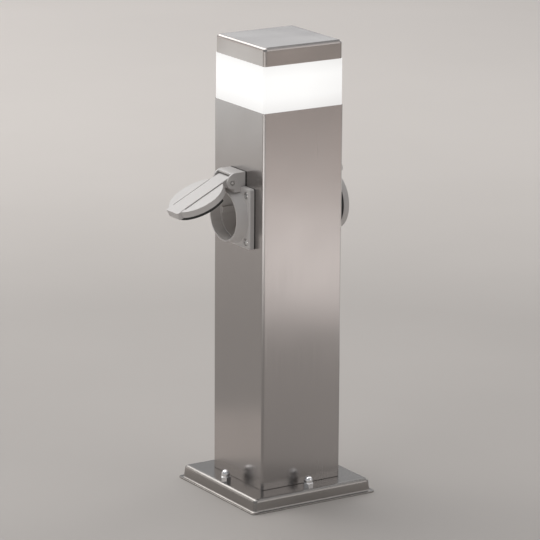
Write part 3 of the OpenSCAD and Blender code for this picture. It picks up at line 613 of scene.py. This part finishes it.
def cap_nut():
    """Chamfered hexagon with a neck and a dome."""
    flat_r = 4.0
    corner = flat_r / math.cos(math.radians(30))
    hex_h = 4.6
    foot_cut = 0.3
    foot_cut_h = 0.25
    top_cut = 0.75
    top_cut_h = 0.5
    beyond = 0.1
    dome_r = 3.7
    neck_foot = 4.4
    neck_top = 6.6
    hexagon = bmesh.new()
    bmesh.ops.create_circle(hexagon, cap_ends=True, radius=corner, segments=6)
    extruded(hexagon, hexagon.faces[:], (0, 0, hex_h), keep=True)
    tidy(hexagon)
    chamfer = turned([(0, -beyond), (corner - foot_cut, -beyond), (corner + beyond, foot_cut_h),
                      (corner + beyond, hex_h - top_cut_h), (corner - top_cut, hex_h), (0, hex_h)],
                     NUT_STEPS)
    foot = shaped(hexagon, [("INTERSECT", chamfer)])
    dome = turned([(0, neck_foot), (dome_r, neck_foot), (dome_r, neck_top)]
                  + arc((0, neck_top), dome_r, 0, 90, 10)[1:], NUT_STEPS)
    return joined([foot, dome])


def four_cap_nuts():
    nuts = []
    for x, y, turn in STUDS:
        place = at(x, y, BASE_TOP) @ Matrix.Rotation(math.radians(turn), 4, "Z")
        nuts.append(moved(cap_nut(), place))
    return joined(nuts)


def post_sheet():
    """Square tube with a hole for each outlet and a softened foot."""
    foot_r = 0.5
    drill_half = 60.0
    foot_level = BASE_TOP + 0.01
    outer_skin = POST_W / 2 - 0.7
    tube = square_tube(POST_W, POST_WALL, POST_CORNER, BASE_TOP, POST_TOP)
    drill = moved(rod(OUTLET_HOLE_R, -drill_half, drill_half, BORE_STEPS), ACROSS_POST)
    bm = shaped(tube, [("DIFFERENCE", drill)])
    foot = [e for e in bm.edges if all(v.co.z < foot_level for v in e.verts)
            and max(abs(c) for v in e.verts for c in v.co.xy) > outer_skin]
    rounded_off(bm, foot, foot_r, 2, "EDGES")
    return bm


def cap_pressing():
    """Square cap with a rounded top edge, hollow below."""
    cap_w = 78.4
    sheet = 1.2
    corner = 2.8
    edge = 3.0
    bm = with_top_ring(square_block(cap_w, LENS_TOP, CAP_TOP, corner, edge, segments=8))
    hollow = square_block(cap_w - 2 * sheet, LENS_TOP - CLEAR, CAP_TOP - sheet, corner - sheet, edge - sheet)
    return shaped(tidy(bm), [("DIFFERENCE", hollow)])


def opal_band():
    return square_tube(LENS_W, LENS_WALL, POST_CORNER, POST_TOP, LENS_TOP)


piece("base_pressing", base_pressing(), ON_AXIS, "post", ["base_plate"], base_steel_painted_dark, crease=40)
piece("cap_nut_set", four_cap_nuts(), ON_AXIS, "post", ["cap_nuts"], nut_chrome, 0.12)
piece("post_sheet", post_sheet(), ON_AXIS, "post", ["post_tube"], post_steel, 0.15)
piece("opal_band", opal_band(), ON_AXIS, "post", ["lens"], opal, 0.3)
piece("cap_pressing", cap_pressing(), ON_AXIS, "post", ["top_cap"], cap_steel, crease=40)


# Outlets, modelled once in the outlet's own frame

EAR_R = 5.2
BLOCK_W = 24.0
BLOCK_RISE = 8.4
BLOCK_TOP = PIN_UP + BLOCK_RISE
EAR_FRONT = PIN_OUT + EAR_R
COLLAR_FOOT_R = 24.4
COLLAR_R = 22.3
COLLAR_FRONT = 15.2
STRAP_W = 17.6
STRAP_FRONT = 18.0
STRAP_R = STRAP_FRONT - PIN_OUT
LID_R = 24.71
LID_IN_R = 23.41
LID_EDGE = 11.8
LID_ROOF = 15.5
WING_STEP = 0.35
WING_FALL = 0.45 / (LID_R - STRAP_W / 2)
TAB_FOOT = -26.3


def screw_places():
    return [(x, y) for x in (-SCREW_REACH, SCREW_REACH) for y in (-SCREW_REACH, SCREW_REACH)]


def outlet_gasket():
    """Square gasket with a thinner strip under the hinge block."""
    margin = 0.3
    plate = square_slab(GASKET_W, GASKET_CORNER, 0.0, GASKET_T)
    strip = block((-BLOCK_W / 2 - margin, 0.0, 0.0), (BLOCK_W / 2 + margin, BLOCK_TOP + margin, RIM_BACK))
    hole = rod(OUTLET_HOLE_R, -CLEAR, GASKET_T + 2 * CLEAR)
    return shaped(plate, [("UNION", strip), ("DIFFERENCE", hole)])


def outlet_frame():
    """Flange, collar and hinge block in one moulding."""
    flange_w = 53.0
    flange_corner = 2.0
    flange_edge = 1.3
    mouth_r = 21.2
    bore_r = 21.15
    ear_gap = 20.2
    step_out = LID_EDGE - 0.4
    step_up = 22.0
    web_up = 26.4
    hollow_r = STRAP_R + 1.2
    roof_front = PIN_OUT + 0.8
    pin_hole_r = 1.52
    pin_seat_r = 2.3
    pin_drill_half = 15.0
    pin_seat_depth = 1.3
    screw_seat_r = 3.2
    screw_drill_front = 9.0
    mouth_drill_front = 20.0
    bore_drill_front = 8.0
    collar_root = 2.0
    flange = square_block(flange_w, RIM_BACK, FLANGE_FRONT, flange_corner, flange_edge, segments=4)
    collar = turned([(0, collar_root), (COLLAR_FOOT_R, collar_root), (COLLAR_FOOT_R, FLANGE_FRONT),
                     (COLLAR_R, COLLAR_FRONT), (0, COLLAR_FRONT)], RING_STEPS)
    hinge = across([(RIM_BACK, step_up), (step_out, step_up), (step_out, PIN_UP - EAR_R)]
                   + arc((PIN_OUT, PIN_UP), EAR_R, -90, 0, 12)
                   + arc((EAR_FRONT - BLOCK_RISE, PIN_UP), BLOCK_RISE, 0, 90, 16)[1:]
                   + [(RIM_BACK, BLOCK_TOP)], BLOCK_W)
    room = across([(step_out, web_up), (step_out, LID_IN_R), (EAR_FRONT + CLEAR, LID_IN_R),
                   (EAR_FRONT + CLEAR, BLOCK_TOP + CLEAR), (roof_front, BLOCK_TOP + CLEAR),
                   (roof_front, PIN_UP + hollow_r)]
                  + arc((PIN_OUT, PIN_UP), hollow_r, 92, 180, 12) + [(PIN_OUT - hollow_r, web_up)], ear_gap)
    gasket_room = square_slab(GASKET_W, GASKET_CORNER, -CLEAR, GASKET_T)
    steps = [("UNION", collar), ("UNION", hinge), ("DIFFERENCE", gasket_room),
             ("DIFFERENCE", rod(mouth_r, FLANGE_FRONT, mouth_drill_front, RING_STEPS)),
             ("DIFFERENCE", rod(bore_r, -CLEAR, bore_drill_front, BORE_STEPS)),
             ("DIFFERENCE", room),
             ("DIFFERENCE", about_pin(pin_hole_r, pin_drill_half, HOLE_STEPS))]
    for side in (-1, 1):
        low, high = on_side(side, BLOCK_W / 2 - pin_seat_depth, BLOCK_W / 2 + CLEAR)
        steps.append(("DIFFERENCE", moved(rod(pin_seat_r, low, high, PIN_STEPS), ALONG_PIN)))
    for x, y in screw_places():
        seat = rod(screw_seat_r, SCREW_SEAT, screw_drill_front, HOLE_STEPS)
        steps.append(("DIFFERENCE", moved(seat, at(x, y, 0))))
    return shaped(flange, steps)


def outlet_insert():
    """Recess with two guide ribs and the holes of the contacts."""
    outer_r = 21.0
    recess_r = 19.75
    chamber_r = 19.5
    recess_floor = -11.3
    floor_back = -14.3
    back = -28.0
    rib_in = 17.75
    rib_out = 20.4
    rib_half = 2.5
    rib_back = -12.0
    rib_front = FLANGE_FRONT - 0.6
    contact_reach = 9.5
    contact_hole_r = 2.7
    drill_back = -16.0
    drill_front = -8.0
    cup = turned([(0, floor_back), (chamber_r, floor_back), (chamber_r, back), (outer_r, back),
                  (outer_r, FLANGE_FRONT), (recess_r, FLANGE_FRONT), (recess_r, recess_floor),
                  (0, recess_floor)])
    steps = []
    for side in (-1, 1):
        low, high = on_side(side, rib_in, rib_out)
        rib = block((low, -rib_half, rib_back), (high, rib_half, rib_front))
        drill = rod(contact_hole_r, drill_back, drill_front, HOLE_STEPS)
        hole = moved(drill, at(side * contact_reach, 0, 0))
        steps.append(("UNION", rib))
        steps.append(("DIFFERENCE", hole))
    return shaped(cup, steps)


def cross_head_screw():
    """Screw with a low rounded head and a cross recess."""
    shank_r = 1.75
    shank_end = -14.0
    head_r = 2.7
    head_edge = 1.0
    round_r = 1.0
    round_up = 0.9
    slot_reach = 1.9
    slot_half = 0.45
    slot_floor = 0.6
    slot_open = 3.0
    slot_turns = (20, 110)
    head = turned([(0, shank_end), (shank_r, shank_end), (shank_r, 0.0), (head_r, 0.0), (head_r, head_edge)]
                  + arc((head_r - round_r, round_up), round_r, 12, 90, 5) + [(0, round_up + round_r)],
                  HOLE_STEPS)
    steps = []
    for angle in slot_turns:
        slot = block((-slot_reach, -slot_half, slot_floor), (slot_reach, slot_half, slot_open))
        steps.append(("DIFFERENCE", moved(slot, Matrix.Rotation(math.radians(angle), 4, "Z"))))
    return shaped(head, steps)


def flange_screw_set():
    return joined([moved(cross_head_screw(), at(x, y, SCREW_SEAT)) for x, y in screw_places()])


def hinge_rod():
    """Pin with chamfered ends."""
    pin_r = 1.5
    end_r = 1.1
    half = 12.2
    straight = 11.8
    pin = turned([(0, -half), (end_r, -half), (pin_r, -straight), (pin_r, straight), (end_r, half),
                  (0, half)], HOLE_STEPS)
    return moved(pin, ALONG_PIN)


def finger_tab():
    """Lip at the foot of the strap, a little wider than it, with rounded corners."""
    half_w = 9.7
    half_h = 1.9
    corner = 1.8
    proud = 0.15
    bm = bmesh.new()
    bmesh.ops.create_grid(bm, x_segments=1, y_segments=1, size=1.0)
    bmesh.ops.scale(bm, vec=(half_w, half_h, 1), verts=bm.verts)
    bmesh.ops.translate(bm, vec=(0, TAB_FOOT + half_h, LID_EDGE), verts=bm.verts)
    foot = [v for v in bm.verts if v.co.y < TAB_FOOT + half_h]
    rounded_off(bm, foot, corner, 6, "VERTICES")
    extruded(bm, bm.faces[:], (0, 0, STRAP_FRONT + proud - LID_EDGE), keep=True)
    return tidy(bm)


def lid_shell():
    """Cup-shaped lid: a flush strap between two falling wings, a finger tab and the hinge knuckle."""
    flush = STRAP_FRONT - WING_STEP
    strap_foot = TAB_FOOT + 1.2
    knuckle_r = 3.8
    spring_room_r = 3.9
    spring_room_half = 3.6
    pin_hole_r = 1.55
    pin_drill_half = 12.0
    groove_w = 1.6
    groove_foot = -18.2
    groove_top = 30.0
    groove_floor = 15.9
    groove_open = 21.0
    room_open = 10.0
    on_plane = 0.0001
    cup = rod(LID_R, LID_EDGE, flush, RING_STEPS)
    for side in (-1, 1):
        bmesh.ops.bisect_plane(cup, geom=cup.verts[:] + cup.edges[:] + cup.faces[:], dist=on_plane,
                               plane_co=(side * STRAP_W / 2, 0, flush), plane_no=(side * WING_FALL, 0, 1),
                               clear_outer=True)
        bmesh.ops.holes_fill(cup, edges=[e for e in cup.edges if e.is_boundary], sides=0)
    strap = across([(LID_EDGE, strap_foot), (STRAP_FRONT, strap_foot), (STRAP_FRONT, PIN_UP)]
                   + arc((PIN_OUT, PIN_UP), STRAP_R, 0, 90, 12)[1:]
                   + [(LID_EDGE, PIN_UP)], STRAP_W)
    steps = [("UNION", strap), ("UNION", finger_tab()),
             ("UNION", about_pin(knuckle_r, STRAP_W / 2, PIN_STEPS)),
             ("DIFFERENCE", rod(LID_IN_R, room_open, LID_ROOF, RING_STEPS)),
             ("DIFFERENCE", about_pin(spring_room_r, spring_room_half, PIN_STEPS)),
             ("DIFFERENCE", about_pin(pin_hole_r, pin_drill_half, HOLE_STEPS))]
    for side in (-1, 1):
        low, high = on_side(side, STRAP_W / 2, STRAP_W / 2 + groove_w)
        groove = block((low, groove_foot, groove_floor), (high, groove_top, groove_open))
        steps.append(("DIFFERENCE", groove))
    return shaped(tidy(cup), steps)


def lid_seal_ring():
    """Wiping ring under the lid's edge, cut away at the hinge."""
    foot = LID_EDGE - 2.4
    outer = LID_R - 0.2
    lip_r = 23.67
    root_r = 23.17
    hinge_side = 12.0
    room_top = 50.0
    room_half = 30.0
    room_back = 8.0
    room_front = 14.0
    ring = turned([(lip_r, foot), (outer, foot), (outer, LID_EDGE), (root_r, LID_EDGE), (lip_r, foot)],
                  RING_STEPS)
    hinge_room = block((-room_half, hinge_side, room_back), (room_half, room_top, room_front))
    return shaped(ring, [("DIFFERENCE", hinge_room)])


def outlet(side, place, lid_place):
    """The pieces of one outlet, each for the node that it stands for."""
    fixed = [
        ("outlet_gasket", outlet_gasket, "flange_gasket", "black_rubber", black_rubber, 0.15),
        ("outlet_frame", outlet_frame, "socket_frame", "grey_plastic", grey_plastic, 0.3),
        ("outlet_insert", outlet_insert, "socket_insert", "grey_plastic", grey_plastic, 0.25),
        ("flange_screw_set", flange_screw_set, "flange_screws", "screw_zinc", screw_zinc, 0.08),
        ("hinge_rod", hinge_rod, "hinge_pin", "pin_steel", pin_steel, 0.1),
    ]
    on_lid = [
        ("lid_shell", lid_shell, "lid", "lid_plastic", lid_plastic, 0.4),
        ("lid_seal_ring", lid_seal_ring, "lid_seal", "black_rubber", black_rubber, 0.15),
    ]
    for body, where, rows in (("post", place, fixed), (side + "_lid", lid_place, on_lid)):
        for name, shape, node, slot, finish, edge in rows:
            piece(side + "_" + name, shape(), where, body, [side + "_" + node], finish, edge)


outlet("left", ON_LEFT, ON_LEFT @ LID_OPEN)
outlet("right", ON_RIGHT, ON_RIGHT)


# Inner pieces keep their solids and get their finishes

INNER_FINISHES = {
    "cable_grommet": black_rubber,
    "terminal_bracket": inner_steel,
    "terminal_block": white_plastic,
    "terminal_screws": screw_zinc,
    "cord_clamp": white_plastic,
    "clamp_screws": screw_zinc,
    "earth_stud": screw_zinc,
    "earth_nut": screw_zinc,
    "led_driver": white_plastic,
    "driver_screws": screw_zinc,
    "live_wires": wire_brown,
    "neutral_wires": wire_blue,
    "earth_wires": wire_green,
    "led_leads": wire_red,
    "head_carrier": inner_steel,
    "lower_lens_gasket": black_rubber,
    "upper_lens_gasket": black_rubber,
    "led_core": inner_alu,
    "led_boards": board_white,
    "led_chips": chip_yellow,
    "tie_rods": screw_zinc,
    "tie_nuts": screw_zinc,
    "cap_plate": inner_steel,
}
for side in ("left", "right"):
    INNER_FINISHES[side + "_earth_clips"] = brass
    INNER_FINISHES[side + "_contacts"] = brass
    INNER_FINISHES[side + "_contact_cover"] = grey_plastic
    INNER_FINISHES[side + "_lid_spring"] = pin_steel

for node, finish in INNER_FINISHES.items():
    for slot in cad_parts[node].material_slots:
        slot.material = finish


# Floor, light and camera, in metres

def pale_floor():
    """A plain floor that grows paler away from the post; its darker colour near the post is painted shade,
    which the steel also mirrors.
    """
    half = 9.0
    near_painted_shade = (0.425, 0.40, 0.38)
    far_colour = (0.87, 0.82, 0.78)
    bm = bmesh.new()
    bmesh.ops.create_grid(bm, x_segments=4, y_segments=4, size=half)
    mesh = bpy.data.meshes.new("floor")
    bm.to_mesh(mesh)
    bm.free()
    floor = bpy.data.objects.new("floor", mesh)
    bpy.context.scene.collection.objects.link(floor)
    material, tree, shader, vector = new_finish("pale_floor")
    distance = tree.nodes.new("ShaderNodeVectorMath")
    distance.operation = "LENGTH"
    tree.links.new(vector, distance.inputs[0])
    clouds = noise(tree, scale=3.0, detail=3)
    tree.links.new(vector, clouds.inputs["Vector"])
    # Painted shade: the floor stays darkest within about 0.6 m of the post and grows paler out to 2.3 m
    paler = summed(tree, ranged(tree, distance.outputs["Value"], 0.0, 0.95, start=0.6, end=2.3),
                   ranged(tree, clouds.outputs["Fac"], 0.0, 0.05))
    tree.links.new(blended(tree, paler, near_painted_shade, far_colour), shader.inputs["Base Color"])
    shader.inputs["Roughness"].default_value = 0.6
    mesh.materials.append(material)


def studio_world():
    """A dim room that looks paler in the steel."""
    room_light = 0.12
    mirrored_light = 0.36
    world = bpy.data.worlds.new("studio")
    world.use_nodes = True
    bpy.context.scene.world = world
    tree = world.node_tree
    background = tree.nodes["Background"]
    background.inputs["Color"].default_value = (0.96, 0.97, 1.0, 1)
    rays = tree.nodes.new("ShaderNodeLightPath")
    strength = ranged(tree, rays.outputs["Is Glossy Ray"], room_light, mirrored_light, start=0.0, end=1.0)
    tree.links.new(strength, background.inputs["Strength"])


def panel(name, place, turn, size, power, colour):
    """A rectangular soft light that the camera doesn't see."""
    light = bpy.data.lights.new(name, "AREA")
    light.shape = "RECTANGLE"
    light.size = size[0]
    light.size_y = size[1]
    light.energy = power
    light.color = colour
    obj = bpy.data.objects.new(name, light)
    obj.location = place
    obj.rotation_euler = turn
    obj.visible_camera = False
    bpy.context.scene.collection.objects.link(obj)


def softbox(name, place, target_height, size, power, colour):
    """A standing panel that faces a height on the post's axis."""
    way = Vector((0, 0, target_height)) - Vector(place)
    panel(name, place, way.to_track_quat("-Z", "Y").to_euler(), size, power, colour)


def floor_panel(name, place, heading, size, power, colour):
    """A panel that lies on the floor and shines up, to be seen in the steel and not on the floor.

    Its width lies across its heading, in degrees, and its depth along it.
    """
    lift = 0.003
    panel(name, (*place, lift), (math.pi, 0, math.radians(heading + 90)), size, power, colour)


def photo_camera():
    """A camera fitted to the photo's straight edges."""
    azimuth = math.radians(-32.422)
    elevation = math.radians(14.622)
    roll = math.radians(0.388)
    distance = 3.02726
    target = Vector((0, 0, 0.202))
    back = Vector((math.sin(azimuth) * math.cos(elevation), -math.cos(azimuth) * math.cos(elevation),
                   math.sin(elevation)))
    level = Vector((math.cos(azimuth), math.sin(azimuth), 0))
    upright = back.cross(level)
    right = level * math.cos(roll) + upright * math.sin(roll)
    up = upright * math.cos(roll) - level * math.sin(roll)
    data = bpy.data.cameras.new("camera")
    data.sensor_width = 36.0
    data.lens = 233.515
    data.shift_x = -0.0140
    data.shift_y = -0.0152
    data.clip_end = 50.0
    camera = bpy.data.objects.new("camera", data)
    place = Matrix((right, up, back)).transposed().to_4x4()
    place.translation = target + back * distance
    camera.matrix_world = place
    bpy.context.scene.collection.objects.link(camera)
    bpy.context.scene.camera = camera


pale_floor()
studio_world()

# Soft light from above and around
panel("overhead", (-0.7, 1.5, 3.0), (0, 0, 0), (4.2, 5.0), 107.0, (1.0, 0.995, 0.99))
softbox("key", (-0.35, 1.50, 1.80), 0.30, (1.4, 1.6), 12.0, (1.0, 0.985, 0.96))
softbox("front_high", (1.04, -1.36, 1.15), 0.40, (0.9, 1.5), 1.9, (1.0, 0.95, 0.92))
softbox("right_fill", (1.70, 0.30, 1.20), 0.25, (1.0, 1.0), 5.5, (1.0, 0.99, 0.98))

# Panels that the tops of the cap and the base mirror
softbox("back_panel", (0.85, 1.35, 0.90), 0.40, (0.8, 0.45), 0.78, (0.98, 0.99, 1.0))
softbox("back_left_panel", (-0.86, 1.35, 0.46), 0.05, (0.9, 0.5), 1.0, (1.0, 0.92, 0.86))
softbox("front_low_panel", (0.90, -1.42, 0.46), 0.05, (0.9, 0.5), 0.7, (1.0, 0.95, 0.92))

# Panels that the post's sides mirror: a height on a side mirrors the floor about four times as far away,
# and the camera's view leaves the front and the left side in these headings, in degrees
FRONT_WAY = -57.6
LEFT_WAY = 122.4
floor_panel("corner_sheen", (-1.245, -0.453), 200.0, (1.0, 1.15), 6.6, (1.0, 0.99, 0.98))
floor_panel("corner_front_sheen", (-0.56, -1.20), 245.0, (1.0, 1.15), 3.2, (1.0, 0.97, 0.95))
floor_panel("front_sheen", (0.438, -0.729), FRONT_WAY, (0.5, 0.442), 0.95, (1.0, 0.94, 0.92))
floor_panel("front_near_sheen", (0.155, -0.285), FRONT_WAY, (0.2, 0.42), 0.029, (1.0, 0.94, 0.90))
floor_panel("front_far_sheen", (0.777, -1.224), FRONT_WAY, (0.9, 0.60), 0.76, (1.0, 0.80, 0.72))
floor_panel("left_sheen", (-0.943, 1.485), LEFT_WAY, (0.8, 0.66), 1.05, (0.84, 0.95, 1.0))
floor_panel("left_foot_sheen", (-0.125, 0.13), LEFT_WAY, (0.16, 0.15), 0.015, (1.0, 0.86, 0.78))
floor_panel("right_sheen", (1.0, 0.0), 0.0, (1.3, 1.1), 2.3, (1.0, 0.98, 0.96))
floor_panel("back_sheen", (0.45, 1.15), 70.0, (1.0, 0.9), 1.27, (1.0, 0.98, 0.96))

photo_camera()
bpy.context.scene.view_settings.view_transform = "Standard"
